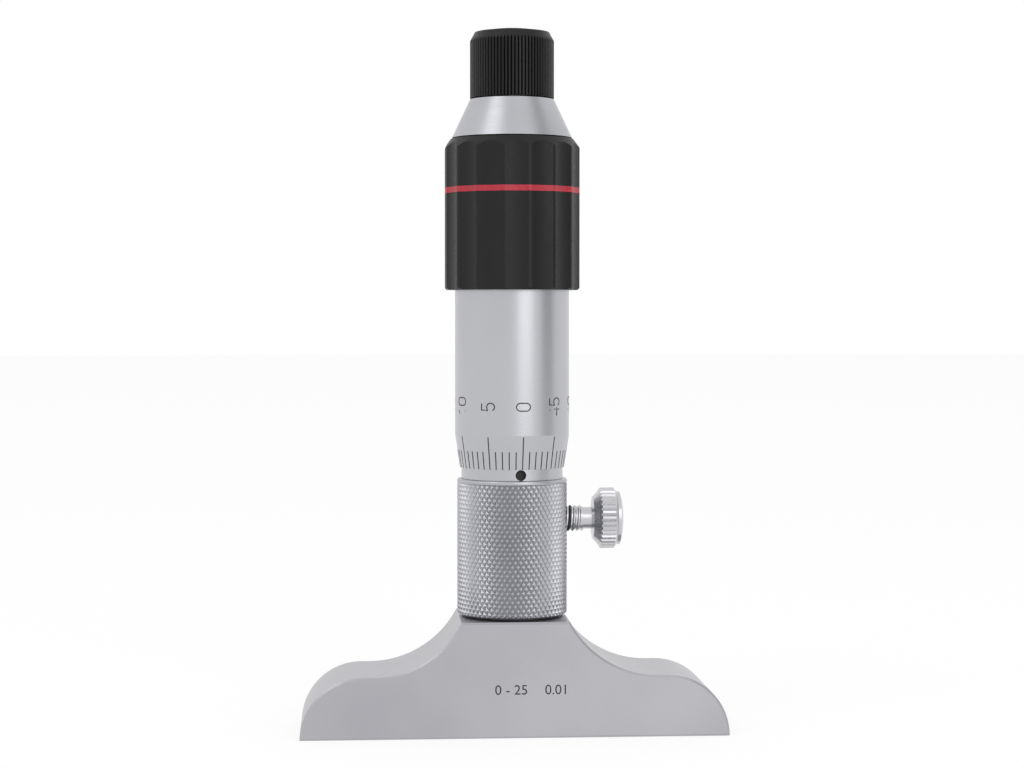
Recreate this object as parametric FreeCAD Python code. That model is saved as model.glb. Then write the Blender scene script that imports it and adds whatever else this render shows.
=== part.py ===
import FreeCAD, Part
import math
import os

# Depth micrometer without a measuring rod, its thimble screwed fully down.
# Millimetres. The measuring face lies in z = 0 with its middle at the origin,
# +Z runs up the spindle, and the clamp screw points to +X.

# Fits
tight_gap = 0.01          # radial, between parts pressed or screwed together
running_gap = 0.03        # radial, between parts that turn or slide
overcut = 1.0             # how far a cutting solid runs past what it cuts
stop_gap = 0.3            # left at the spindle's end stops
face_gap = 0.03           # axial, between faces that turn against each other

# Base bar
base_width = 63.5
base_depth = 17.5
base_height = 17.1
wing_height = 9.1         # also the radius of the rounded ends
boss_half_width = 8.0
wing_flat = 1.4           # level stretch between hollow curve and rounded end
base_chamfer = 0.3
socket_radius = 5.5
socket_floor = 3.7
rod_hole_radius = 2.5

# Barrel, the fixed inner tube with the nut thread at its split top
barrel_radius = 7.0
barrel_upper_radius = 6.82
guide_height = 3.0        # of the spindle guide above the base
relief_radius = 4.5
nose_length = 9.5
nose_wall = 1.53
nut_thread_length = 11.0
nose_slit_count = 3
nose_slit_width = 0.6
nose_cover = 1.0          # nose stands above the sleeve
bore_runout = 0.6         # short cone between two bores

# Knurled collar round the barrel
collar_lift = 0.25
collar_length = 20.45
collar_wall = 1.24
collar_chamfer = 0.35

# Graduated sleeve
sleeve_wall = 0.75
sleeve_show = 1.7         # left bare between collar and thimble
sleeve_overlap = 4.5      # still inside the raised thimble
spanner_hole_radius = 0.8
spanner_hole_rise = 0.85
spanner_hole_turn = 6.0   # degrees to the right of the front

# Adjusting nut on the barrel's nose
adjusting_nut_length = 5.5
adjusting_nut_room = 0.4  # inside the sleeve
adjusting_nut_lift = 1.0  # above the foot of the nose
nut_slot_width = 1.2
nut_slot_depth = 1.0

# Hollow spindle
travel = 25.0
rod_radius = 2.0
rod_gap = 0.02
shank_radius = 3.5
thread_radius = 3.84      # pitch radius of the 0.5 mm thread
thread_groove_length = 1.0
thread_groove_depth = 0.2
spindle_shoulder_radius = 6.0
spindle_shoulder_length = 2.2
seat_taper_bottom = 5.0
seat_taper_top = 4.3
seat_length = 7.0
spindle_end_radius = 3.75
spindle_end_length = 3.0
rod_head_radius = 3.0
rod_head_depth = 2.0

# Thimble
thimble_gap = 0.075       # radial, over the sleeve
thimble_wall = 0.875
thimble_edge = 0.125      # thickness left at the reading edge
bevel_length = 5.0
skirt_margin = 1.5        # skirt beyond the travel
neck_step = 0.35
neck_drop = 0.5           # neck ends below the grip's top
neck_bore_radius = 7.0
thimble_nut_length = 2.5
thimble_nut_room = 0.5
spanner_pin_radius = 0.7

# Fluted grip in two shells with the coloured ring between them
grip_wall = 1.94
lower_grip_length = 14.4
ring_length = 0.85
upper_grip_length = 7.25
grip_flute_count = 16
flute_depth = 0.4
flute_land = 2.4          # degrees of round left between flutes
grip_chamfer_radial = 0.95
grip_chamfer_axial = 1.3
grip_foot_chamfer = 0.3

# End cone that closes the thimble
cone_height = 5.9
cone_bottom_radius = 9.0
cone_top_radius = 6.3
cone_rim = 0.2
spigot_gap = 1.0          # above the thimble nut
rod_head_room = 4.5       # radius of the hollow over the rod's head
rod_head_room_height = 3.0
hex_flats = 7.4
hex_depth = 1.4

# Ratchet
knob_gap = 0.2
knob_radius = 6.28
knob_length = 9.8
knob_bore_radius = 4.8
knob_roof = 1.6
knob_chamfer_radial = 0.7
knob_chamfer_axial = 1.3
knob_groove_count = 76
knob_groove_depth = 0.22
knob_groove_turn = 2.4    # degrees across one groove
cap_radius = 4.9
cap_seat_depth = 0.3
cap_dome = 0.6
head_pocket_radius = 4.5
seat_gap = 0.1            # radial, ratchet seat in the knob
seat_thickness = 1.0
ratchet_tooth_count = 24
tooth_height = 0.5
tooth_root = 1.5          # degrees of flat between teeth
tooth_side_gap = 0.4      # degrees between meshed upright faces
tooth_inner_radius = 2.9
disc_thickness = 1.77
disc_gap = 0.08           # radial, disc in the knob
disc_bore_gap = 0.3       # radial, disc round the pivot screw
key_count = 4
key_width = 1.6
key_height = 0.6
key_gap = 0.06
spring_wire = 0.55         # side of the square wire
spring_radius = 3.4
spring_turns = 3.0
spring_end_gap = 0.02
pivot_radius = 2.0        # shouldered screw that carries the knob
pivot_thread_radius = 1.5
pivot_thread_length = 5.5
pivot_head_radius = 3.6
pivot_head_length = 0.75
pivot_slot_width = 0.8
pivot_slot_depth = 0.35
washer_radius = 3.9
washer_thickness = 0.3
washer_gap = 0.05         # radial, on the pivot screw
head_room = 0.22          # between the pivot screw's head and the cap

# Clamp screw and its pad
clamp_rise = 14.35        # above the collar's lower edge
clamp_thread_radius = 1.77    # pitch radius of M4
pad_reach = 0.35          # between pad and spindle
pad_length = 1.75
pad_gap = 0.06            # radial, in the tapped hole
pad_screw_gap = 0.05
clamp_thread_show = 2.35
clamp_neck_radius = 1.64
clamp_neck_length = 1.3
clamp_head_radius = 4.56
clamp_ring_radius = 4.0
clamp_back_radius = 3.2
clamp_back_length = 1.4
clamp_back_bevel = 0.25
clamp_rim_length = 1.95
clamp_front_step = 0.45
clamp_front_length = 0.92
clamp_face_dome = 0.4
clamp_face_tip = 0.04
clamp_ridge_count = 34
clamp_ridge_depth = 0.28
clamp_ridge_turn = 6.6    # degrees across one groove

# Radii that follow from the fits
sleeve_bore = barrel_upper_radius + running_gap
sleeve_radius = sleeve_bore + sleeve_wall
collar_radius = barrel_radius + tight_gap + collar_wall
thread_bore = thread_radius + running_gap
nose_radius = thread_bore + nose_wall
adjusting_nut_radius = sleeve_bore - adjusting_nut_room
rod_bore = rod_radius + rod_gap
thimble_bore = sleeve_radius + thimble_gap
thimble_radius = thimble_bore + thimble_wall
neck_radius = thimble_radius - neck_step
grip_bore = neck_radius + tight_gap
grip_radius = grip_bore + grip_wall
clamp_bore = clamp_thread_radius + running_gap

# Heights, from the base upwards
spindle_bottom = socket_floor + stop_gap
guide_top = base_height + guide_height
collar_bottom = base_height + collar_lift
collar_top = collar_bottom + collar_length
clamp_z = collar_bottom + clamp_rise
thimble_bottom = collar_top + sleeve_show
sleeve_bottom = collar_top + face_gap
sleeve_top = thimble_bottom + travel + sleeve_overlap
barrel_top = sleeve_top + nose_cover
nose_bottom = barrel_top - nose_length
nut_bottom = barrel_top - nut_thread_length
shoulder_bottom = barrel_top + stop_gap
hub_bottom = shoulder_bottom + spindle_shoulder_length + face_gap
hub_top = hub_bottom + seat_length
spindle_top = hub_top + spindle_end_length
thread_bottom = clamp_z + clamp_thread_radius + thread_groove_length
grip_bottom = thimble_bottom + travel + skirt_margin
ring_bottom = grip_bottom + lower_grip_length
ring_top = ring_bottom + ring_length
grip_top = ring_top + upper_grip_length
neck_top = grip_top - neck_drop
spigot_bottom = hub_top + thimble_nut_length + spigot_gap
cone_top = grip_top + cone_height
hex_bottom = cone_top - hex_depth
tooth_base = cone_top + seat_thickness
disc_bottom = tooth_base + tooth_height + face_gap
disc_top = disc_bottom + disc_thickness
knob_bottom = cone_top + knob_gap
knob_top = knob_bottom + knob_length
cap_seat = knob_top - cap_seat_depth
roof_top = cap_seat - head_room - pivot_head_length - face_gap - washer_thickness
roof_bottom = roof_top - knob_roof
washer_bottom = roof_top
pivot_head_bottom = washer_bottom + washer_thickness + face_gap

# Places along the clamp screw
pad_start = shank_radius + pad_reach
pad_end = pad_start + pad_length
screw_start = pad_end + pad_screw_gap
thread_end = collar_radius + clamp_thread_show
head_start = thread_end + clamp_neck_length


def vector(x, y, z):
    return FreeCAD.Vector(x, y, z)


UP = vector(0, 0, 1)
RIGHT = vector(1, 0, 0)


def outline_face(steps, place):
    """Closed face. A step is a point, or a pair: a point on an arc and its end."""
    first = place(*steps[0])
    here = first
    edges = []
    for step in steps[1:]:
        if isinstance(step[0], tuple):
            end = place(*step[1])
            edges.append(Part.Arc(here, place(*step[0]), end).toShape())
        else:
            end = place(*step)
            edges.append(Part.LineSegment(here, end).toShape())
        here = end
    if here.distanceToPoint(first) > 1e-6:
        edges.append(Part.LineSegment(here, first).toShape())
    return Part.Face(Part.Wire(edges))


def turned(steps):
    """Solid turned about the spindle's axis from (radius, height) steps."""
    face = outline_face(steps, lambda radius, height: vector(radius, 0, height))
    return face.revolve(vector(0, 0, 0), UP, 360)


def turned_on_clamp(steps):
    """Solid turned about the clamp screw's axis from (x, radius) steps."""
    face = outline_face(steps, lambda x, radius: vector(x, 0, clamp_z + radius))
    return face.revolve(vector(0, 0, clamp_z), RIGHT, 360)


def tube(inner, outer, bottom, top):
    return turned([(inner, bottom), (outer, bottom), (outer, top), (inner, top)])


def upright(radius, bottom, top, x=0, y=0):
    return Part.makeCylinder(radius, top - bottom, vector(x, y, bottom), UP)


def along_clamp(radius, start, end):
    return Part.makeCylinder(radius, end - start, vector(start, 0, clamp_z), RIGHT)


def round_axis(shape, count, first=0.0):
    """Copies of a shape turned evenly about the spindle's axis."""
    copies = []
    for number in range(count):
        copy = shape.copy()
        copy.rotate(vector(0, 0, 0), UP, first + number * 360.0 / count)
        copies.append(copy)
    return copies


def polar(radius, angle):
    turn = math.radians(angle)
    return (radius * math.cos(turn), radius * math.sin(turn))


def grooved_face(radius, depth, count, groove_turn, place):
    """Round face with V grooves and flat lands, as on a straight knurl."""
    pitch = 360.0 / count
    points = []
    for number in range(count):
        middle = number * pitch
        points.append(polar(radius, middle - groove_turn / 2))
        points.append(polar(radius - depth, middle))
        points.append(polar(radius, middle + groove_turn / 2))
    return outline_face(points, place)


def fluted_prism(bottom, top):
    """Length of the grip's outer form: shallow hollows between narrow lands."""
    pitch = 360.0 / grip_flute_count
    land = flute_land / 2
    front = -90
    steps = [polar(grip_radius, front - pitch / 2 + land)]
    for number in range(grip_flute_count):
        middle = front + number * pitch
        ridge = middle + pitch / 2
        steps.append((polar(grip_radius - flute_depth, middle),
                      polar(grip_radius, ridge - land)))
        steps.append((polar(grip_radius, ridge), polar(grip_radius, ridge + land)))
    face = outline_face(steps, lambda x, y: vector(x, y, bottom))
    return face.extrude(vector(0, 0, top - bottom))


def base_bar():
    half = base_width / 2
    end_middle = half - wing_height
    saddle_rise = base_height - wing_height
    saddle_x = end_middle - wing_flat
    saddle_run = saddle_x - boss_half_width
    saddle_radius = (saddle_run ** 2 + saddle_rise ** 2) / (2 * saddle_rise)
    saddle_z = wing_height + saddle_radius
    saddle_turn = math.atan2(saddle_run, saddle_radius - saddle_rise) / 2
    hollow = (saddle_x - saddle_radius * math.sin(saddle_turn),
              saddle_z - saddle_radius * math.cos(saddle_turn))
    diagonal = wing_height * math.sqrt(0.5)
    steps = [
        (-half, 0), (half, 0),
        ((end_middle + diagonal, diagonal), (end_middle, wing_height)),
        (saddle_x, wing_height),
        (hollow, (boss_half_width, base_height)),
        (-boss_half_width, base_height),
        ((-hollow[0], hollow[1]), (-saddle_x, wing_height)),
        (-end_middle, wing_height),
        ((-end_middle - diagonal, diagonal), (-half, 0)),
    ]
    face = outline_face(steps, lambda x, z: vector(x, -base_depth / 2, z))
    bar = face.extrude(vector(0, base_depth, 0))
    rims = [edge for edge in bar.Edges if lies_on_side(edge)]
    bar = bar.makeChamfer(base_chamfer, rims)
    bar = bar.cut(upright(socket_radius, socket_floor, base_height + overcut))
    bar = bar.cut(upright(rod_hole_radius, -overcut, socket_floor + overcut))
    mouth = Part.makeCone(rod_hole_radius + base_chamfer, rod_hole_radius, base_chamfer)
    return bar.cut(mouth)


def lies_on_side(edge):
    sides = {round(abs(vertex.Y), 4) for vertex in edge.Vertexes}
    return sides == {round(base_depth / 2, 4)} and edge.BoundBox.YLength < 0.001


def barrel():
    body = turned([
        (shank_radius + running_gap, socket_floor), (socket_radius - tight_gap, socket_floor),
        (socket_radius - tight_gap, base_height), (barrel_radius, base_height),
        (barrel_radius, collar_top), (barrel_upper_radius, collar_top),
        (barrel_upper_radius, nose_bottom), (nose_radius, nose_bottom),
        (nose_radius, barrel_top), (thread_bore, barrel_top),
        (thread_bore, nut_bottom), (relief_radius, nut_bottom - bore_runout),
        (relief_radius, guide_top + bore_runout), (shank_radius + running_gap, guide_top),
    ])
    slit = Part.makeBox(nose_radius + overcut, nose_slit_width, nose_length,
                        vector(0, -nose_slit_width / 2, nose_bottom + nose_slit_width))
    for cutter in round_axis(slit, nose_slit_count, 60):
        body = body.cut(cutter)
    return body.cut(along_clamp(clamp_bore, 0, barrel_radius + overcut))


def knurled_collar():
    inner = barrel_radius + tight_gap
    rim = collar_radius - collar_chamfer
    body = turned([
        (inner, collar_bottom), (rim, collar_bottom),
        (collar_radius, collar_bottom + collar_chamfer),
        (collar_radius, collar_top - collar_chamfer), (rim, collar_top), (inner, collar_top),
    ])
    return body.cut(along_clamp(clamp_bore, 0, collar_radius + overcut))


def graduated_sleeve():
    body = tube(sleeve_bore, sleeve_radius, sleeve_bottom, sleeve_top)
    hole = Part.makeCylinder(spanner_hole_radius, sleeve_radius + overcut,
                             vector(0, 0, collar_top + spanner_hole_rise),
                             vector(*polar(1, -90 + spanner_hole_turn), 0))
    return body.cut(hole)


def adjusting_nut():
    bottom = nose_bottom + adjusting_nut_lift
    top = bottom + adjusting_nut_length
    body = tube(nose_radius + tight_gap, adjusting_nut_radius, bottom, top)
    slot = Part.makeBox(2 * adjusting_nut_radius, nut_slot_width, nut_slot_depth + overcut,
                        vector(-adjusting_nut_radius, -nut_slot_width / 2, top - nut_slot_depth))
    return body.cut(slot)


def spindle():
    groove = shank_radius - thread_groove_depth
    return turned([
        (rod_bore, spindle_bottom), (shank_radius - base_chamfer, spindle_bottom),
        (shank_radius, spindle_bottom + base_chamfer),
        (shank_radius, thread_bottom - thread_groove_length),
        (groove, thread_bottom - thread_groove_length), (groove, thread_bottom),
        (thread_radius, thread_bottom), (thread_radius, shoulder_bottom),
        (spindle_shoulder_radius, shoulder_bottom),
        (spindle_shoulder_radius, hub_bottom - face_gap),
        (seat_taper_bottom, hub_bottom - face_gap), (seat_taper_top, hub_top),
        (spindle_end_radius, hub_top), (spindle_end_radius, spindle_top),
        (rod_head_radius, spindle_top), (rod_head_radius, spindle_top - rod_head_depth),
        (rod_bore, spindle_top - rod_head_depth - (rod_head_radius - rod_bore)),
    ])


def thimble():
    return turned([
        (thimble_bore, thimble_bottom), (thimble_bore + thimble_edge, thimble_bottom),
        (thimble_radius, thimble_bottom + bevel_length), (thimble_radius, grip_bottom),
        (neck_radius, grip_bottom), (neck_radius, neck_top),
        (neck_bore_radius, neck_top), (neck_bore_radius, hub_top),
        (seat_taper_top + running_gap, hub_top),
        (seat_taper_bottom + running_gap, hub_bottom),
        (thimble_bore, hub_bottom),
    ])


def thimble_nut():
    outer = neck_bore_radius - thimble_nut_room
    top = hub_top + thimble_nut_length
    body = tube(spindle_end_radius + running_gap, outer, hub_top, top)
    middle = (spindle_end_radius + outer) / 2
    hole = upright(spanner_pin_radius, top - thimble_nut_length / 2, top + overcut, x=middle)
    for cutter in round_axis(hole, 2):
        body = body.cut(cutter)
    return body


def grip_shell(bottom, top, foot_chamfer, top_radial, top_axial):
    """One fluted shell, chamfered at its foot or its head."""
    edge = grip_radius
    envelope = [(grip_bore, bottom), (edge - foot_chamfer, bottom)]
    if foot_chamfer:
        envelope.append((edge, bottom + foot_chamfer))
    envelope.append((edge + overcut, bottom + foot_chamfer))
    envelope.append((edge + overcut, top - top_axial))
    if top_radial:
        envelope.append((edge, top - top_axial))
    envelope += [(edge - top_radial, top), (grip_bore, top)]
    return fluted_prism(bottom - overcut, top + overcut).common(turned(envelope))


def end_cone():
    body = turned([
        (rod_head_room, spigot_bottom), (neck_bore_radius - tight_gap, spigot_bottom),
        (neck_bore_radius - tight_gap, grip_top), (cone_bottom_radius - cone_rim, grip_top),
        (cone_bottom_radius, grip_top + cone_rim), (cone_top_radius, cone_top),
        (pivot_thread_radius + tight_gap, cone_top),
        (pivot_thread_radius + tight_gap, spigot_bottom + rod_head_room_height),
        (rod_head_room, spigot_bottom + rod_head_room_height),
    ])
    return body.cut(hexagon(hex_flats + 2 * tight_gap, hex_bottom, cone_top + overcut))


def hexagon(flats, bottom, top):
    corner = flats / math.sqrt(3)
    corners = [polar(corner, 60 * number) for number in range(6)]
    face = outline_face(corners, lambda x, y: vector(x, y, bottom))
    return face.extrude(vector(0, 0, top - bottom))


def face_tooth(upright_angle, slope_angle, root, tip, outer):
    """Radial saw tooth: upright on one side, sloping to the root on the other."""
    sections = []
    for radius in (tooth_inner_radius, outer):
        x_up, y_up = polar(radius, upright_angle)
        x_low, y_low = polar(radius, slope_angle)
        corners = [vector(x_up, y_up, root), vector(x_up, y_up, tip), vector(x_low, y_low, root)]
        sections.append(Part.makePolygon(corners + corners[:1]))
    return Part.makeLoft(sections, True, True)


def crown(upright_angle, slope_angle, root, tip, outer):
    tooth = face_tooth(upright_angle, slope_angle, root, tip, outer)
    return round_axis(tooth, ratchet_tooth_count)


def ratchet_seat():
    outer = knob_bore_radius - seat_gap
    slope_end = 360.0 / ratchet_tooth_count - tooth_root
    sink = 0.05
    body = tube(pivot_radius + tight_gap, outer, cone_top, tooth_base)
    boss = hexagon(hex_flats, hex_bottom, cone_top + sink)
    boss = boss.cut(upright(pivot_radius + tight_gap, hex_bottom - overcut, cone_top + overcut))
    body = body.fuse(boss)
    teeth = crown(0, slope_end, tooth_base, tooth_base + tooth_height, outer)
    return body.multiFuse(teeth).removeSplitter()


def ratchet_disc():
    outer = knob_bore_radius - disc_gap
    pitch = 360.0 / ratchet_tooth_count
    body = tube(pivot_radius + disc_bore_gap, outer, disc_bottom, disc_top)
    teeth = crown(-tooth_side_gap, -pitch + tooth_root - tooth_side_gap,
                  disc_bottom, disc_bottom - tooth_height, outer)
    reach = outer + key_height
    key = Part.makeBox(reach - outer + overcut, key_width, disc_thickness,
                       vector(outer - overcut, -key_width / 2, disc_bottom))
    return body.multiFuse(teeth + round_axis(key, key_count)).removeSplitter()


def ratchet_knob():
    grooved = grooved_face(knob_radius, knob_groove_depth, knob_groove_count, knob_groove_turn,
                           lambda x, y: vector(x, y, knob_bottom))
    body = grooved.extrude(vector(0, 0, knob_length))
    body = body.common(turned([
        (0, knob_bottom), (knob_radius + overcut, knob_bottom),
        (knob_radius + overcut, knob_top - knob_chamfer_axial),
        (knob_radius, knob_top - knob_chamfer_axial),
        (knob_radius - knob_chamfer_radial, knob_top), (0, knob_top),
    ]))
    body = body.cut(upright(knob_bore_radius, knob_bottom - overcut, roof_bottom))
    body = body.cut(upright(pivot_radius + running_gap, roof_bottom - overcut, roof_top + overcut))
    body = body.cut(upright(head_pocket_radius, roof_top, knob_top + overcut))
    body = body.cut(upright(cap_radius, cap_seat, knob_top + overcut))
    reach = knob_bore_radius - disc_gap + key_height + key_gap
    keyway = Part.makeBox(reach, key_width + 2 * key_gap, roof_bottom - knob_bottom + overcut,
                          vector(0, -key_width / 2 - key_gap, knob_bottom - overcut))
    for cutter in round_axis(keyway, key_count):
        body = body.cut(cutter)
    return body


def ratchet_spring():
    bottom = disc_top + spring_end_gap
    rise = roof_bottom - spring_end_gap - spring_wire - bottom
    path = Part.makeHelix(rise / spring_turns, rise, spring_radius)
    path.translate(vector(0, 0, bottom))
    inner = spring_radius - spring_wire / 2
    outer = spring_radius + spring_wire / 2
    corners = [vector(inner, 0, bottom), vector(outer, 0, bottom),
               vector(outer, 0, bottom + spring_wire), vector(inner, 0, bottom + spring_wire)]
    section = Part.makePolygon(corners + corners[:1])
    return Part.Wire(path.Edges).makePipeShell([section], True, True)


def pivot_screw():
    head_top = pivot_head_bottom + pivot_head_length
    body = turned([
        (0, hex_bottom - pivot_thread_length), (pivot_thread_radius, hex_bottom - pivot_thread_length),
        (pivot_thread_radius, hex_bottom), (pivot_radius, hex_bottom),
        (pivot_radius, pivot_head_bottom), (pivot_head_radius, pivot_head_bottom),
        (pivot_head_radius, head_top), (0, head_top),
    ])
    slot = Part.makeBox(2 * pivot_head_radius, pivot_slot_width, pivot_slot_depth + overcut,
                        vector(-pivot_head_radius, -pivot_slot_width / 2,
                               head_top - pivot_slot_depth))
    return body.cut(slot)


def knob_cap():
    edge = cap_radius - tight_gap
    rim = knob_top + 0.05
    peak = knob_top + cap_dome
    dome_radius = (edge ** 2 + (peak - rim) ** 2) / (2 * (peak - rim))
    half_turn = math.asin(edge / dome_radius) / 2
    crest = (dome_radius * math.sin(half_turn),
             peak - dome_radius * (1 - math.cos(half_turn)))
    return turned([(0, cap_seat), (edge, cap_seat), (edge, rim), (crest, (0, peak))])


def clamp_pad():
    return along_clamp(clamp_bore - pad_gap, pad_start, pad_end)


def clamp_screw():
    rim_start = head_start + clamp_back_length
    rim_end = rim_start + clamp_rim_length
    ring_start = rim_end + clamp_front_step
    face_x = ring_start + clamp_front_length
    body = turned_on_clamp([
        (screw_start, 0), (screw_start, clamp_thread_radius - base_chamfer),
        (screw_start + base_chamfer, clamp_thread_radius), (thread_end, clamp_thread_radius),
        (thread_end, clamp_neck_radius), (head_start, clamp_neck_radius),
        (head_start + clamp_back_bevel, clamp_back_radius),
        (rim_start - clamp_back_length / 4, clamp_ring_radius),
        (rim_start, clamp_ring_radius), (rim_end, clamp_ring_radius),
        (ring_start, clamp_ring_radius), (ring_start + clamp_front_length / 2, clamp_ring_radius),
        ((face_x - clamp_face_dome / 2, clamp_back_radius), (face_x, clamp_neck_radius)),
        (face_x + clamp_face_tip, 0),
    ])
    rim = grooved_face(clamp_head_radius, clamp_ridge_depth, clamp_ridge_count, clamp_ridge_turn,
                       lambda y, z: vector(rim_start - clamp_front_step, y, clamp_z + z))
    rim = rim.extrude(vector(clamp_rim_length + 2 * clamp_front_step, 0, 0))
    envelope = turned_on_clamp([
        (rim_start - clamp_front_step, 0), (rim_start - clamp_front_step, clamp_ring_radius),
        (rim_start, clamp_head_radius), (rim_start, clamp_head_radius + overcut),
        (rim_end, clamp_head_radius + overcut), (rim_end, clamp_head_radius),
        (ring_start, clamp_ring_radius), (ring_start, 0),
    ])
    return body.fuse(rim.common(envelope))


pieces = {
    "base_bar": base_bar(),
    "barrel": barrel(),
    "knurled_collar": knurled_collar(),
    "graduated_sleeve": graduated_sleeve(),
    "adjusting_nut": adjusting_nut(),
    "spindle": spindle(),
    "thimble": thimble(),
    "thimble_nut": thimble_nut(),
    "lower_grip": grip_shell(grip_bottom, ring_bottom, grip_foot_chamfer, 0, 0),
    "colour_ring": grip_shell(ring_bottom, ring_top, 0, 0, 0),
    "upper_grip": grip_shell(ring_top, grip_top, 0, grip_chamfer_radial, grip_chamfer_axial),
    "end_cone": end_cone(),
    "ratchet_seat": ratchet_seat(),
    "ratchet_disc": ratchet_disc(),
    "ratchet_spring": ratchet_spring(),
    "ratchet_knob": ratchet_knob(),
    "thrust_washer": tube(pivot_radius + washer_gap, washer_radius, washer_bottom,
                          washer_bottom + washer_thickness),
    "pivot_screw": pivot_screw(),
    "knob_cap": knob_cap(),
    "clamp_pad": clamp_pad(),
    "clamp_screw": clamp_screw(),
}

os.makedirs("parts", exist_ok=True)
for name, shape in pieces.items():
    print(name, "valid" if shape.isValid() else "NOT VALID", len(shape.Solids), "solid",
          round(shape.Volume, 1), "mm3")
    shape.exportStep("parts/" + name + ".step")
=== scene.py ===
"""Depth micrometer on its measuring base: finishes, knurl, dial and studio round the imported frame."""

import math

import bmesh
import bpy
from mathutils import Matrix, Vector


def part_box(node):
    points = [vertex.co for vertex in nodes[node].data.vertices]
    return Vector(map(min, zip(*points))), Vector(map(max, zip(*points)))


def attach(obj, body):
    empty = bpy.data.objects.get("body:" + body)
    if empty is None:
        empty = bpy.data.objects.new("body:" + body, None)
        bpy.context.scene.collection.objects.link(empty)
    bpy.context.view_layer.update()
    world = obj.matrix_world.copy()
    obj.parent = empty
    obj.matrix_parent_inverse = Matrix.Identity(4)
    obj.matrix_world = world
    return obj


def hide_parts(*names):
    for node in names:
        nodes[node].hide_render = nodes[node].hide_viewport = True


MM = 0.001

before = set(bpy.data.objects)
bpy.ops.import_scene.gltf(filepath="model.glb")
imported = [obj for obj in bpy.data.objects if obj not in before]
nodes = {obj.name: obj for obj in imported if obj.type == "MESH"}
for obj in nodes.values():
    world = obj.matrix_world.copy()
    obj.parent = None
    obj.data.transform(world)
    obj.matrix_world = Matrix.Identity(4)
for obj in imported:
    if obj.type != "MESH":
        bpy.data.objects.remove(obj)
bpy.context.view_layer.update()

# Measuring base
BASE_DEPTH = 17.5 * MM
MARK_HEIGHT = 1.5 * MM
MARK_MIDDLE_Z = 7.1 * MM
MARK_PROUD = 0.008 * MM
MARK_SUNK = 0.02 * MM
CAP_SHARE = 0.73
MARKS = (("0 - 25", -0.7 * MM), ("0.01", 6.0 * MM))

# Knurled collar
COLLAR_BORE = 7.02 * MM
COLLAR_RADIUS = 8.25 * MM
KNURL_DEPTH = 0.27 * MM
KNURL_AROUND = 62
KNURL_PITCH = 1.3 * MM
KNURL_CREST = 0.3
KNURL_BAND = 0.55 * MM
COLLAR_FOOT_CHAMFER = 0.3 * MM
COLLAR_HEAD_ROUND = 0.28 * MM
BAND_SLOPE = 0.12 * MM
STUD_SEAT = 0.02 * MM
CLAMP_HOLE_RADIUS = 2.05 * MM
CLAMP_DRILL_LENGTH = 6 * MM
CLAMP_DRILL_X = 8 * MM

# Thimble dial
THIMBLE_RADIUS = 8.55 * MM
THIMBLE_EDGE_RADIUS = 7.8 * MM
BEVEL_LENGTH = 5.0 * MM
DIVISIONS = 50
NUMBERED_EVERY = 5
DIAL_ZERO_TURN = 7.5
LINE_WIDTH = 0.16 * MM
LONG_LINE = 4.85 * MM
SHORT_LINE = 2.65 * MM
LINE_PROUD = 0.012 * MM
DIGIT_HEIGHT = 2.1 * MM
DIGIT_ADVANCE = 1.4 * MM
DIGIT_STROKE = 0.17 * MM
DIGIT_WIDTH = 0.55
DIGIT_SUNK = 0.02 * MM
DIGIT_MIDDLE_Z = 48.75 * MM

# Clamp screw
CLAMP_Z = 31.7 * MM
THREAD_PITCH = 0.7 * MM
THREAD_SPIRAL_RADIUS = 1.7 * MM
THREAD_RIDGE = 0.31 * MM
THREAD_START_X = 7.7 * MM
# Turns nearest the collar are drawn black: painted shade where the thread comes out of the collar's hole.
THREAD_PAINTED_SHADE_TURNS = 2.2
THREAD_TURNS = 4.2
THREAD_JOIN_TURNS = 0.2

# Camera and studio
AIM = Vector((0, 0, 51.9 * MM))
CAMERA_DISTANCE = 350 * MM
CAMERA_TURN = -4.0
CAMERA_RISE = 10.9 * MM
CAMERA_LENS = 82.0
SENSOR_WIDTH = 36.0
FLOOR_SIZE = 6.0
FLOOR_DROP = 0.02 * MM
FLOOR_GLOW = 0.76
ROOM_LIGHT = 0.7
LAMP_AIM = (0, 0, 0.05)


# Finishes


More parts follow.
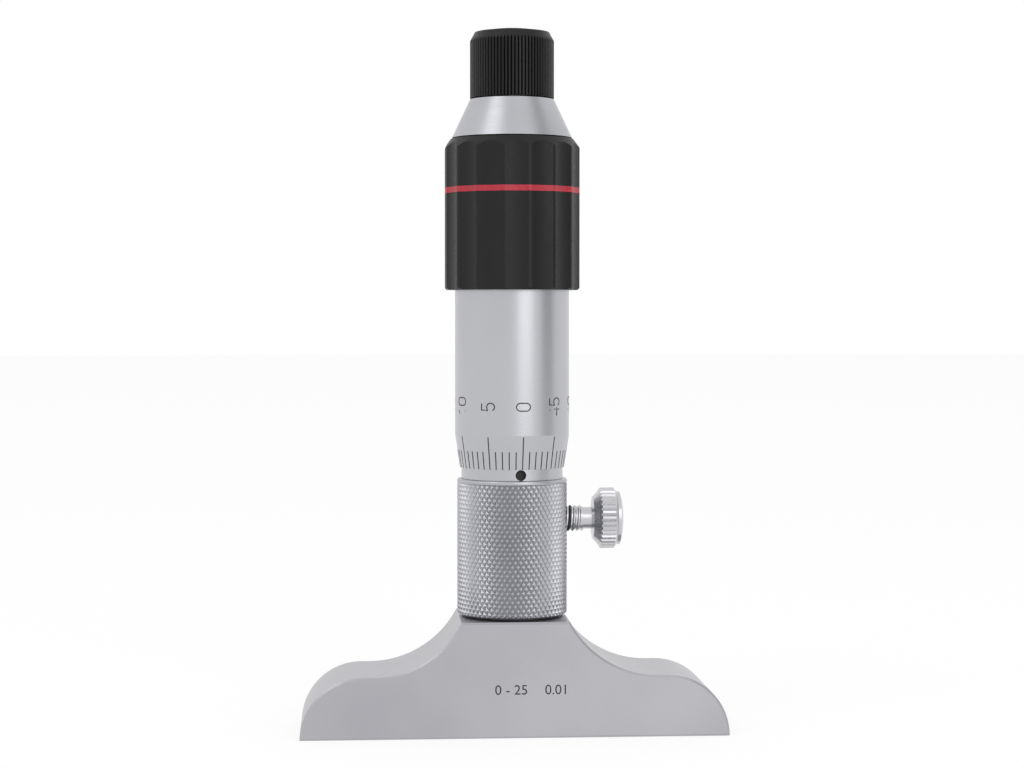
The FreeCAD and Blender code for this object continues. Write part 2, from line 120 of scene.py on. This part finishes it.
class Finish:
    """A metal or plastic surface with its fine detail laid in the object's own space."""

    def __init__(self, name, colour, roughness, metallic):
        self.material = bpy.data.materials.new(name)
        self.material.use_nodes = True
        self.nodes = self.material.node_tree.nodes
        self.links = self.material.node_tree.links
        self.shader = self.nodes["Principled BSDF"]
        self.shader.inputs["Base Color"].default_value = (*colour, 1)
        self.shader.inputs["Roughness"].default_value = roughness
        self.shader.inputs["Metallic"].default_value = metallic
        self.space = self.nodes.new("ShaderNodeTexCoord").outputs["Object"]
        self.normal = None

    def grain(self, stretch, detail=2.0):
        """Noise whose frequency, per metre, is given along each axis."""
        mapping = self.nodes.new("ShaderNodeMapping")
        mapping.inputs["Scale"].default_value = stretch
        noise = self.nodes.new("ShaderNodeTexNoise")
        noise.inputs["Scale"].default_value = 1.0
        noise.inputs["Detail"].default_value = detail
        self.links.new(self.space, mapping.inputs["Vector"])
        self.links.new(mapping.outputs["Vector"], noise.inputs["Vector"])
        return noise.outputs["Fac"]

    def vary(self, socket, factor, low, high):
        """Drives a shader number between two values."""
        spread = self.nodes.new("ShaderNodeMapRange")
        spread.inputs["From Min"].default_value = 0.3
        spread.inputs["From Max"].default_value = 0.7
        spread.inputs["To Min"].default_value = low
        spread.inputs["To Max"].default_value = high
        self.links.new(factor, spread.inputs["Value"])
        self.links.new(spread.outputs["Result"], self.shader.inputs[socket])

    def tint(self, factor, low, high):
        """Drives the base colour between two colours."""
        ramp = self.nodes.new("ShaderNodeValToRGB")
        ramp.color_ramp.elements[0].position = 0.3
        ramp.color_ramp.elements[0].color = (*low, 1)
        ramp.color_ramp.elements[1].position = 0.7
        ramp.color_ramp.elements[1].color = (*high, 1)
        self.links.new(factor, ramp.inputs["Fac"])
        self.links.new(ramp.outputs["Color"], self.shader.inputs["Base Color"])

    def relief(self, factor, depth, strength=1.0):
        """Adds a bump of the given depth in metres."""
        bump = self.nodes.new("ShaderNodeBump")
        bump.inputs["Distance"].default_value = depth
        bump.inputs["Strength"].default_value = strength
        self.links.new(factor, bump.inputs["Height"])
        if self.normal:
            self.links.new(self.normal, bump.inputs["Normal"])
        self.normal = bump.outputs["Normal"]
        self.links.new(self.normal, self.shader.inputs["Normal"])


def ground_steel():
    finish = Finish("ground_steel", (0.44, 0.435, 0.46), 0.36, 1.0)
    streaks = finish.grain((180, 9000, 9000), 3.0)
    clouds = finish.grain((60, 60, 60), 2.0)
    finish.tint(clouds, (0.425, 0.42, 0.45), (0.475, 0.47, 0.495))
    finish.vary("Roughness", streaks, 0.32, 0.42)
    finish.relief(streaks, 0.0015 * MM, 0.6)
    return finish.material


def turned_steel(name, colour, roughness, rings):
    """Steel with faint turning rings round the long axis."""
    finish = Finish(name, colour, roughness, 1.0)
    grooves = finish.grain((150, 150, rings), 2.0)
    clouds = finish.grain((90, 90, 90), 2.0)
    pale = tuple(min(1.0, part * 1.06) for part in colour)
    dark = tuple(part * 0.95 for part in colour)
    finish.tint(clouds, dark, pale)
    finish.vary("Roughness", grooves, roughness - 0.04, roughness + 0.05)
    finish.relief(grooves, 0.001 * MM, 0.5)
    return finish.material


def satin_chrome():
    finish = Finish("satin_chrome", (0.5, 0.505, 0.53), 0.3, 1.0)
    matt = finish.grain((7000, 7000, 7000), 2.0)
    clouds = finish.grain((70, 70, 40), 2.0)
    finish.tint(clouds, (0.485, 0.49, 0.515), (0.52, 0.525, 0.55))
    finish.vary("Roughness", matt, 0.27, 0.34)
    finish.relief(matt, 0.0012 * MM, 0.5)
    return finish.material


def black_plastic(name, level, roughness):
    """Moulded or anodised black with a faint texture."""
    finish = Finish(name, (level, level, level * 1.05), roughness, 0.0)
    finish.shader.inputs["Specular IOR Level"].default_value = 0.3
    texture = finish.grain((2600, 2600, 2600), 3.0)
    wear = finish.grain((350, 350, 120), 3.0)
    finish.tint(wear, (level * 0.8,) * 3, (level * 1.35,) * 3)
    finish.vary("Roughness", texture, roughness - 0.05, roughness + 0.08)
    finish.relief(texture, 0.006 * MM, 0.5)
    return finish.material


def red_enamel():
    finish = Finish("red_ring", (0.66, 0.035, 0.06), 0.42, 0.0)
    texture = finish.grain((1500, 1500, 1500), 2.0)
    finish.tint(texture, (0.6, 0.03, 0.05), (0.72, 0.045, 0.075))
    finish.vary("Roughness", texture, 0.38, 0.48)
    return finish.material


# Black of the engraved lines, numbers and marks; also painted shade on the clamp thread's first turns by the
# collar.
def engraving_black():
    finish = Finish("engraving_black", (0.02, 0.02, 0.022), 0.55, 0.0)
    texture = finish.grain((9000, 9000, 9000), 2.0)
    finish.tint(texture, (0.014, 0.014, 0.016), (0.035, 0.035, 0.038))
    finish.vary("Roughness", texture, 0.5, 0.65)
    return finish.material


# Also on the inner sleeve, which shows only through the spanner hole: its black there is painted shade in the
# hole.
def blackened_steel():
    finish = Finish("blackened_steel", (0.02, 0.02, 0.022), 0.45, 0.6)
    patches = finish.grain((900, 900, 900), 3.0)
    finish.tint(patches, (0.015, 0.015, 0.017), (0.035, 0.034, 0.036))
    finish.vary("Roughness", patches, 0.38, 0.52)
    return finish.material


def brass():
    finish = Finish("brass", (0.62, 0.42, 0.16), 0.3, 1.0)
    turned = finish.grain((6000, 200, 200), 2.0)
    finish.vary("Roughness", turned, 0.25, 0.38)
    finish.relief(turned, 0.002 * MM, 0.5)
    return finish.material


# Mesh tools


def shaded(mesh, angle=32):
    """Smooth faces with sharp edges kept where the surface turns hard."""
    mesh.polygons.foreach_set("use_smooth", [True] * len(mesh.polygons))
    mesh.set_sharp_from_angle(angle=math.radians(angle))
    mesh.update()


def new_piece(name, mesh, *materials):
    for material in materials:
        mesh.materials.append(material)
    piece = bpy.data.objects.new(name, mesh)
    bpy.context.scene.collection.objects.link(piece)
    return piece


def lathe(name, section, steps=180):
    """Ring turned about Z from a closed section of (radius, height) points, outside going up."""
    mesh = bpy.data.meshes.new(name)
    count = len(section)
    places = []
    for step in range(steps):
        turn = 2 * math.pi * step / steps
        places += [(radius * math.cos(turn), radius * math.sin(turn), z) for radius, z in section]
    faces = []
    for step in range(steps):
        here = step * count
        there = (step + 1) % steps * count
        for corner in range(count):
            after = (corner + 1) % count
            faces.append((here + corner, there + corner, there + after, here + after))
    mesh.from_pydata(places, [], faces)
    return mesh


def round_corner(middle, radius, start, end, steps=6):
    """Points of an arc in the lathe's (radius, height) plane, angles in degrees."""
    points = []
    for step in range(steps + 1):
        turn = math.radians(start + (end - start) * step / steps)
        points.append((middle[0] + radius * math.cos(turn), middle[1] + radius * math.sin(turn)))
    return points


# Geometry Nodes


class Tree:
    """A Geometry Nodes tree with named sizes, ending in real geometry with one material."""

    def __init__(self, name):
        self.group = bpy.data.node_groups.new(name, "GeometryNodeTree")
        self.group.interface.new_socket("Geometry", in_out="OUTPUT", socket_type="NodeSocketGeometry")
        self.entry = self.group.nodes.new("NodeGroupInput")
        self.values = {}

    def size(self, name, value, kind="NodeSocketFloat"):
        socket = self.group.interface.new_socket(name, in_out="INPUT", socket_type=kind)
        self.values[socket.identifier] = value
        return self.entry.outputs[name]

    def node(self, kind, settings=None, **inputs):
        """A node with its sockets set or linked; underscores in names stand for spaces."""
        made = self.group.nodes.new(kind)
        for key, value in (settings or {}).items():
            setattr(made, key, value)
        for key, value in inputs.items():
            socket = made.inputs[int(key[1:])] if key[1:].isdigit() else made.inputs[key.replace("_", " ")]
            if isinstance(value, bpy.types.NodeSocket):
                self.group.links.new(value, socket)
            else:
                socket.default_value = value
        return made

    def math(self, operation, first, second=0.0):
        return self.node("ShaderNodeMath", {"operation": operation}, _0=first, _1=second).outputs[0]

    def vector(self, x, y, z):
        return self.node("ShaderNodeCombineXYZ", X=x, Y=y, Z=z).outputs[0]

    def moved(self, geometry, **inputs):
        return self.node("GeometryNodeTransform", Geometry=geometry, **inputs).outputs[0]

    def end(self, geometry, material):
        real = self.node("GeometryNodeRealizeInstances", Geometry=geometry).outputs[0]
        coated = self.node("GeometryNodeSetMaterial", Geometry=real, Material=material).outputs[0]
        leave = self.group.nodes.new("NodeGroupOutput")
        self.group.links.new(coated, leave.inputs[0])

    def mesh(self, name):
        """Runs the tree once and returns the plain mesh."""
        holder = bpy.data.objects.new(name, bpy.data.meshes.new(name + "_seed"))
        bpy.context.scene.collection.objects.link(holder)
        modifier = holder.modifiers.new(name, "NODES")
        modifier.node_group = self.group
        for identifier, value in self.values.items():
            modifier[identifier] = value
        bpy.context.view_layer.update()
        result = holder.evaluated_get(bpy.context.evaluated_depsgraph_get())
        mesh = bpy.data.meshes.new_from_object(result)
        mesh.name = name
        holder.modifiers.remove(modifier)
        bpy.data.objects.remove(holder)
        return mesh


def knurl_studs(foot, head, material):
    """Flat-topped diamonds in staggered rows round the collar."""
    root = COLLAR_RADIUS - KNURL_DEPTH
    tree = Tree("knurl")
    around = tree.size("Around", KNURL_AROUND, "NodeSocketInt")
    rows = tree.size("Rows", round((head - foot) / (KNURL_PITCH / 2)) + 1, "NodeSocketInt")
    pitch = tree.size("Pitch", KNURL_PITCH)
    bottom = tree.size("Bottom", foot)
    radius = tree.size("Root radius", root)
    depth = tree.size("Depth", KNURL_DEPTH)
    crest = tree.size("Crest share", KNURL_CREST)
    half_width = tree.math("MULTIPLY", radius, tree.math("SINE", tree.math("DIVIDE", math.pi, around)))
    stud = tree.node("GeometryNodeMeshCone", {"fill_type": "NGON"}, Vertices=4, Radius_Top=crest,
                     Radius_Bottom=1.0, Depth=depth).outputs["Mesh"]
    stud = tree.moved(stud, Rotation=(0, math.pi / 2, 0))
    flat = tree.math("MULTIPLY", radius, tree.math("COSINE", tree.math("DIVIDE", math.pi, around)))
    tall = tree.math("DIVIDE", pitch, 2.0)
    stud = tree.moved(stud, Scale=tree.vector(1.0, half_width, tall), Translation=tree.vector(flat, 0.0, 0.0))
    total = tree.math("MULTIPLY", around, rows)
    seats = tree.node("GeometryNodeMeshLine", Count=total, Offset=(0, 0, 0)).outputs[0]
    index = tree.node("GeometryNodeInputIndex").outputs[0]
    row = tree.math("FLOOR", tree.math("DIVIDE", index, around))
    stagger = tree.math("MULTIPLY", tree.math("MODULO", row, 2.0), 0.5)
    share = tree.math("DIVIDE", tree.math("ADD", index, stagger), around)
    turn = tree.math("MULTIPLY", share, 2 * math.pi)
    height = tree.math("ADD", bottom, tree.math("MULTIPLY", row, tall))
    seats = tree.node("GeometryNodeSetPosition", Geometry=seats,
                      Position=tree.vector(0.0, 0.0, height)).outputs[0]
    studs = tree.node("GeometryNodeInstanceOnPoints", Points=seats, Instance=stud,
                      Rotation=tree.vector(0.0, 0.0, turn)).outputs[0]
    tree.end(studs, material)
    return tree.mesh("knurl_studs")


def dial_lines(bottom, material):
    """Division lines on the bevel, every fifth one long."""
    tree = Tree("dial_lines")
    count = tree.size("Divisions", DIVISIONS, "NodeSocketInt")
    every = tree.size("Numbered every", NUMBERED_EVERY, "NodeSocketInt")
    width = tree.size("Line width", LINE_WIDTH)
    proud = tree.size("Proud", LINE_PROUD)
    zero = tree.size("Zero turn", math.radians(DIAL_ZERO_TURN - 90))
    lean = math.atan2(THIMBLE_RADIUS - THIMBLE_EDGE_RADIUS, BEVEL_LENGTH)
    seats = tree.node("GeometryNodeMeshLine", Count=count, Offset=(0, 0, 0)).outputs[0]
    index = tree.node("GeometryNodeInputIndex").outputs[0]
    turn = tree.math("SUBTRACT", zero, tree.math("DIVIDE", tree.math("MULTIPLY", index, 2 * math.pi), count))
    place = tree.math("MODULO", index, every)
    numbered = tree.math("LESS_THAN", place, 0.5)
    plain = tree.math("GREATER_THAN", place, 0.5)
    thick = tree.math("MULTIPLY", proud, 4.0)
    sunk = tree.math("SUBTRACT", proud, tree.math("DIVIDE", thick, 2.0))
    rows = []
    for name, length, wanted in (("Long line", LONG_LINE, numbered), ("Short line", SHORT_LINE, plain)):
        long_side = tree.size(name, length)
        bar = tree.node("GeometryNodeMeshCube", Size=tree.vector(thick, width, long_side)).outputs["Mesh"]
        middle = tree.math("DIVIDE", long_side, 2.0)
        bar = tree.moved(bar, Translation=tree.vector(sunk, 0.0, middle))
        bar = tree.moved(bar, Rotation=(0, lean, 0), Translation=(THIMBLE_EDGE_RADIUS, 0, bottom))
        rows.append(tree.node("GeometryNodeInstanceOnPoints", Points=seats, Selection=wanted, Instance=bar,
                              Rotation=tree.vector(0.0, 0.0, turn)).outputs[0])
    joined = tree.node("GeometryNodeJoinGeometry")
    for row in rows:
        tree.group.links.new(row, joined.inputs[0])
    tree.end(joined.outputs[0], material)
    return tree.mesh("dial_lines")


def thread_ridge(start, turns, material, name):
    """Ridge of the clamp screw's thread, wound along X."""
    tree = Tree(name)
    pitch = tree.size("Pitch", THREAD_PITCH)
    rounds = tree.size("Turns", turns)
    radius = tree.size("Spiral radius", THREAD_SPIRAL_RADIUS)
    ridge = tree.size("Ridge", THREAD_RIDGE)
    height = tree.math("MULTIPLY", pitch, rounds)
    path = tree.node("GeometryNodeCurveSpiral", Resolution=48, Rotations=rounds, Start_Radius=radius,
                     End_Radius=radius, Height=height).outputs[0]
    path = tree.node("GeometryNodeSetCurveNormal", {"mode": "Z_UP"}, Curve=path).outputs[0]
    edge = tree.node("GeometryNodeCurvePrimitiveCircle", Resolution=4, Radius=ridge).outputs[0]
    body = tree.node("GeometryNodeCurveToMesh", Curve=path, Profile_Curve=edge, Fill_Caps=True).outputs[0]
    body = tree.moved(body, Rotation=(0, math.pi / 2, 0), Translation=(start, 0, CLAMP_Z))
    tree.end(body, material)
    return tree.mesh(name)


# Collar


def collar_body(low, high):
    """Turned core of the collar: root of the knurl, plain band on top, chamfered foot."""
    root = COLLAR_RADIUS - KNURL_DEPTH - STUD_SEAT
    band = high - KNURL_BAND
    corner = COLLAR_HEAD_ROUND
    section = [(COLLAR_BORE, low), (root - COLLAR_FOOT_CHAMFER, low), (root, low + COLLAR_FOOT_CHAMFER)]
    section += [(root, band - BAND_SLOPE), (COLLAR_RADIUS - STUD_SEAT, band)]
    section += round_corner((COLLAR_RADIUS - corner, high - corner), corner, 0, 90)
    section += [(COLLAR_BORE, high)]
    return lathe("collar_body", section)


def trim(mesh, low, high):
    """Cuts a mesh off level at both heights and closes the cuts."""
    work = bmesh.new()
    work.from_mesh(mesh)
    for height, side in ((low, -1), (high, 1)):
        everything = work.verts[:] + work.edges[:] + work.faces[:]
        cut = bmesh.ops.bisect_plane(work, geom=everything, dist=1e-7, plane_co=(0, 0, height),
                                     plane_no=(0, 0, side), clear_outer=True)
        rims = [item for item in cut["geom_cut"] if isinstance(item, bmesh.types.BMEdge)]
        bmesh.ops.holes_fill(work, edges=rims, sides=0)
    work.to_mesh(mesh)
    work.free()


def clear_clamp_hole(mesh):
    """Takes away the faces of diamonds that stand over the clamp screw's hole."""
    work = bmesh.new()
    work.from_mesh(mesh)
    gone = set()
    for face in work.faces:
        middle = face.calc_center_median()
        if middle.x > 0 and math.hypot(middle.y, middle.z - CLAMP_Z) < CLAMP_HOLE_RADIUS:
            gone.add(face)
    bmesh.ops.delete(work, geom=list(gone), context="FACES")
    work.to_mesh(mesh)
    work.free()


def knurled_collar(material):
    low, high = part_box("knurled_collar")
    body = new_piece("collar_core", collar_body(low.z, high.z), material)
    drill = bpy.data.meshes.new("clamp_drill")
    work = bmesh.new()
    bmesh.ops.create_cone(work, cap_ends=True, segments=48, radius1=CLAMP_HOLE_RADIUS,
                          radius2=CLAMP_HOLE_RADIUS, depth=CLAMP_DRILL_LENGTH)
    laid = Matrix.Translation((CLAMP_DRILL_X, 0, CLAMP_Z)) @ Matrix.Rotation(math.pi / 2, 4, "Y")
    bmesh.ops.transform(work, verts=work.verts, matrix=laid)
    work.to_mesh(drill)
    work.free()
    cutter = new_piece("clamp_drill", drill)
    hole = body.modifiers.new("hole", "BOOLEAN")
    hole.object = cutter
    hole.operation = "DIFFERENCE"
    bpy.context.view_layer.update()
    core = bpy.data.meshes.new_from_object(body.evaluated_get(bpy.context.evaluated_depsgraph_get()))
    bpy.data.objects.remove(body)
    bpy.data.objects.remove(cutter)
    shaded(core)
    studs = knurl_studs(low.z, high.z, material)
    trim(studs, low.z + COLLAR_FOOT_CHAMFER, high.z - KNURL_BAND + STUD_SEAT)
    clear_clamp_hole(studs)
    work = bmesh.new()
    work.from_mesh(core)
    work.from_mesh(studs)
    whole = bpy.data.meshes.new("collar_knurl")
    work.to_mesh(whole)
    work.free()
    piece = new_piece("collar_knurl", whole, material)
    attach(piece, "stand")
    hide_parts("knurled_collar")


# Dial numbers


def arc(middle, across, up, start, end, steps=12):
    """Points of an elliptic arc in a digit's box, angles in degrees."""
    points = []
    for step in range(steps + 1):
        turn = math.radians(start + (end - start) * step / steps)
        points.append((middle[0] + across * math.cos(turn), middle[1] + up * math.sin(turn)))
    return points


def digit_strokes():
    """Pen paths of the digits in a box one high, with True for a closed path."""
    wide = DIGIT_WIDTH
    half = wide / 2
    oval = arc((half, 0.72), half, 0.28, 0, 180) + arc((half, 0.28), half, 0.28, 180, 360)
    return {
        "0": [(oval, True)],
        "1": [([(0.08, 0.78), (0.3, 1.0), (0.3, 0.0)], False)],
        "2": [(arc((half, 0.72), half, 0.28, 160, -25) + [(0.0, 0.0), (wide, 0.0)], False)],
        "3": [(arc((half, 0.75), half * 0.9, 0.25, 150, -80)
               + arc((half, 0.27), half, 0.27, 80, -150), False)],
        "4": [([(wide, 0.27), (0.0, 0.27), (0.38, 1.0)], False), ([(0.42, 0.55), (0.42, 0.0)], False)],
        "5": [([(wide * 0.94, 1.0), (0.06, 1.0), (0.03, 0.54)]
               + arc((half, 0.3), half, 0.3, 118, -150), False)],
    }


def pen_line(points, closed, width):
    """Left and right edge of a stroke of even width."""
    count = len(points)
    edges = []
    for number, point in enumerate(points):
        before = points[(number - 1) % count] if closed or number else point
        after = points[(number + 1) % count] if closed or number < count - 1 else point
        into = Vector((point[0] - before[0], point[1] - before[1]))
        out = Vector((after[0] - point[0], after[1] - point[1]))
        into = into.normalized() if into.length else out.normalized()
        out = out.normalized() if out.length else into
        along = (into + out).normalized()
        side = Vector((-along.y, along.x))
        reach = width / 2 / max(0.5, side.dot(Vector((-into.y, into.x))))
        here = Vector(point)
        edges.append((here + side * reach, here - side * reach))
    return edges


def wrap_on_thimble(along, up, turn, lift):
    """Place on the thimble: text runs up Z and its top faces left."""
    radius = THIMBLE_RADIUS + lift
    azimuth = math.radians(turn) - (up - DIGIT_HEIGHT / 2) / THIMBLE_RADIUS
    return (radius * math.sin(azimuth), -radius * math.cos(azimuth), DIGIT_MIDDLE_Z + along)


def dial_numbers(material):
    strokes = digit_strokes()
    mesh = bpy.data.meshes.new("dial_numbers")
    work = bmesh.new()
    for line in range(0, DIVISIONS, NUMBERED_EVERY):
        turn = DIAL_ZERO_TURN - 360 * line / DIVISIONS
        text = str(line)
        wide = DIGIT_WIDTH * DIGIT_HEIGHT
        whole = (len(text) - 1) * DIGIT_ADVANCE + wide
        for place, digit in enumerate(text):
            shift = place * DIGIT_ADVANCE - whole / 2
            for path, closed in strokes[digit]:
                points = [(shift + x * DIGIT_HEIGHT, y * DIGIT_HEIGHT) for x, y in path]
                if closed:
                    points = [point for number, point in enumerate(points)
                              if math.dist(point, points[number - 1]) > 1e-6]
                edges = pen_line(points, closed, DIGIT_STROKE)
                rings = []
                for left, right in edges:
                    corners = [(left, -DIGIT_SUNK), (left, LINE_PROUD),
                               (right, LINE_PROUD), (right, -DIGIT_SUNK)]
                    rings.append([work.verts.new(wrap_on_thimble(corner.x, corner.y, turn, lift))
                                  for corner, lift in corners])
                last = len(rings) if closed else len(rings) - 1
                for number in range(last):
                    here, there = rings[number], rings[(number + 1) % len(rings)]
                    for side in range(4):
                        after = (side + 1) % 4
                        work.faces.new((here[side], here[after], there[after], there[side]))
                if not closed:
                    work.faces.new(reversed(rings[0]))
                    work.faces.new(rings[-1])
    bmesh.ops.recalc_face_normals(work, faces=work.faces)
    work.to_mesh(mesh)
    work.free()
    piece = new_piece("dial_numbers", mesh, material)
    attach(piece, "thimble_unit")


# Marks on the base


def base_marks(material):
    work = bmesh.new()
    for text, middle in MARKS:
        curve = bpy.data.curves.new("mark", "FONT")
        curve.body = text
        curve.size = MARK_HEIGHT / CAP_SHARE
        curve.align_x = "CENTER"
        curve.align_y = "CENTER"
        curve.extrude = MARK_SUNK
        holder = bpy.data.objects.new("mark", curve)
        bpy.context.scene.collection.objects.link(holder)
        bpy.context.view_layer.update()
        flat = bpy.data.meshes.new_from_object(holder.evaluated_get(bpy.context.evaluated_depsgraph_get()))
        front = -BASE_DEPTH / 2 - MARK_PROUD + MARK_SUNK
        upright = Matrix.Translation((middle, front, MARK_MIDDLE_Z)) @ Matrix.Rotation(math.pi / 2, 4, "X")
        flat.transform(upright)
        work.from_mesh(flat)
        bpy.data.objects.remove(holder)
    mesh = bpy.data.meshes.new("base_marks")
    work.to_mesh(mesh)
    work.free()
    piece = new_piece("base_marks", mesh, material)
    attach(piece, "stand")


# Clamp screw thread


def clamp_thread(steel, dark):
    # The first turns take the black material as painted shade by the collar; the rest is bright steel.
    first = thread_ridge(THREAD_START_X, THREAD_PAINTED_SHADE_TURNS, dark, "thread_painted_shade_turns")
    rest = thread_ridge(THREAD_START_X + (THREAD_PAINTED_SHADE_TURNS - THREAD_JOIN_TURNS) * THREAD_PITCH,
                        THREAD_TURNS - THREAD_PAINTED_SHADE_TURNS, steel, "thread_bright_turns")
    for mesh in (first, rest):
        piece = new_piece(mesh.name, mesh)
        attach(piece, "clamp_wheel")


# Studio


def soft_box(name, place, aim, wide, high, radiance):
    """Area lamp whose face has the given radiance, white being 1."""
    lamp = bpy.data.lights.new(name, "AREA")
    lamp.shape = "RECTANGLE"
    lamp.size = wide
    lamp.size_y = high
    lamp.energy = radiance * math.pi * wide * high
    holder = bpy.data.objects.new(name, lamp)
    holder.location = place
    holder.rotation_euler = (Vector(aim) - Vector(place)).to_track_quat("-Z", "Y").to_euler()
    bpy.context.scene.collection.objects.link(holder)


def flat_sheet(name, wide, high):
    mesh = bpy.data.meshes.new(name)
    corners = [(-wide / 2, -high / 2, 0), (wide / 2, -high / 2, 0),
               (wide / 2, high / 2, 0), (-wide / 2, high / 2, 0)]
    mesh.from_pydata(corners, [], [(0, 1, 2, 3)])
    return mesh


def floor():
    material = bpy.data.materials.new("studio_floor")
    material.use_nodes = True
    tree = material.node_tree
    shader = tree.nodes["Principled BSDF"]
    shader.inputs["Base Color"].default_value = (0.3, 0.3, 0.3, 1)
    shader.inputs["Roughness"].default_value = 1.0
    shader.inputs["Specular IOR Level"].default_value = 0.0
    shader.inputs["Emission Color"].default_value = (1, 1, 1, 1)
    seen = bright_for_view(tree)
    glow = tree.nodes.new("ShaderNodeMath")
    glow.operation = "MULTIPLY"
    glow.inputs[1].default_value = FLOOR_GLOW
    tree.links.new(seen, glow.inputs[0])
    tree.links.new(glow.outputs[0], shader.inputs["Emission Strength"])
    piece = new_piece("studio_floor", flat_sheet("studio_floor", FLOOR_SIZE, FLOOR_SIZE), material)
    piece.location = (0, 0, -FLOOR_DROP)


def bright_for_view(tree):
    """1 for camera, glossy and transmission rays, else 0."""
    path = tree.nodes.new("ShaderNodeLightPath")
    total = path.outputs["Is Camera Ray"]
    for name in ("Is Glossy Ray", "Is Transmission Ray"):
        step = tree.nodes.new("ShaderNodeMath")
        step.operation = "MAXIMUM"
        tree.links.new(total, step.inputs[0])
        tree.links.new(path.outputs[name], step.inputs[1])
        total = step.outputs[0]
    return total


def white_world():
    world = bpy.data.worlds.new("studio_world")
    bpy.context.scene.world = world
    world.use_nodes = True
    tree = world.node_tree
    background = tree.nodes["Background"]
    background.inputs["Color"].default_value = (1, 1, 1, 1)
    spread = tree.nodes.new("ShaderNodeMapRange")
    spread.inputs["To Min"].default_value = ROOM_LIGHT
    spread.inputs["To Max"].default_value = 1.0
    tree.links.new(bright_for_view(tree), spread.inputs["Value"])
    tree.links.new(spread.outputs["Result"], background.inputs["Strength"])


def dark_card(name, turn, distance, wide, high, level):
    """Grey card that shows in reflections but casts no shadow."""
    material = bpy.data.materials.new(name)
    material.use_nodes = True
    shader = material.node_tree.nodes["Principled BSDF"]
    shader.inputs["Base Color"].default_value = (0, 0, 0, 1)
    shader.inputs["Specular IOR Level"].default_value = 0.0
    shader.inputs["Emission Color"].default_value = (1, 1, 1, 1)
    shader.inputs["Emission Strength"].default_value = level
    piece = new_piece(name, flat_sheet(name, wide, high), material)
    azimuth = math.radians(turn)
    place = Vector((distance * math.sin(azimuth), -distance * math.cos(azimuth), high / 2))
    piece.location = place
    piece.rotation_euler = (Vector((0, 0, high / 2)) - place).to_track_quat("Z", "Y").to_euler()
    piece.visible_camera = False
    piece.visible_diffuse = False
    piece.visible_shadow = False


def camera():
    made = bpy.data.cameras.new("camera")
    made.lens = CAMERA_LENS
    made.sensor_width = SENSOR_WIDTH
    made.clip_start = 0.01
    made.clip_end = 20
    holder = bpy.data.objects.new("camera", made)
    azimuth = math.radians(CAMERA_TURN)
    back = Vector((math.sin(azimuth), -math.cos(azimuth), 0)) * CAMERA_DISTANCE
    holder.location = AIM + back + Vector((0, 0, CAMERA_RISE))
    holder.rotation_euler = (AIM - holder.location).to_track_quat("-Z", "Y").to_euler()
    bpy.context.scene.collection.objects.link(holder)
    bpy.context.scene.camera = holder


# Assembly

camera()

finishes = {
    "ground_steel": ground_steel(),
    "satin_chrome": satin_chrome(),
    "satin_steel": turned_steel("satin_steel", (0.46, 0.465, 0.49), 0.34, 6000),
    "bright_steel": turned_steel("bright_steel", (0.56, 0.56, 0.58), 0.24, 7000),
    "plain_steel": turned_steel("plain_steel", (0.42, 0.42, 0.43), 0.35, 5000),
    "spring_steel": turned_steel("spring_steel", (0.3, 0.3, 0.32), 0.3, 5000),
    "blackened_steel": blackened_steel(),
    "black_grip": black_plastic("black_grip", 0.008, 0.42),
    "black_knob": black_plastic("black_knob", 0.007, 0.4),
    "red_ring": red_enamel(),
    "brass": brass(),
}
engraving_and_shade = engraving_black()

for node in nodes.values():
    for slot in node.material_slots:
        slot.material = finishes[slot.material.name.split(".")[0]]

knurled_collar(finishes["satin_steel"])

lines = new_piece("dial_lines", dial_lines(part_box("thimble")[0].z, engraving_and_shade))
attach(lines, "thimble_unit")
dial_numbers(engraving_and_shade)
base_marks(engraving_and_shade)
clamp_thread(finishes["bright_steel"], engraving_and_shade)

floor()
white_world()
soft_box("soft_box_front_right", (0.32, -0.75, 0.35), LAMP_AIM, 0.45, 0.6, 1.5)
soft_box("soft_box_top_left", (-0.6, -0.45, 0.8), LAMP_AIM, 0.5, 0.5, 1.2)
dark_card("card_right", 72, 0.6, 0.3, 0.9, 0.45)

bpy.context.scene.view_settings.view_transform = "Standard"
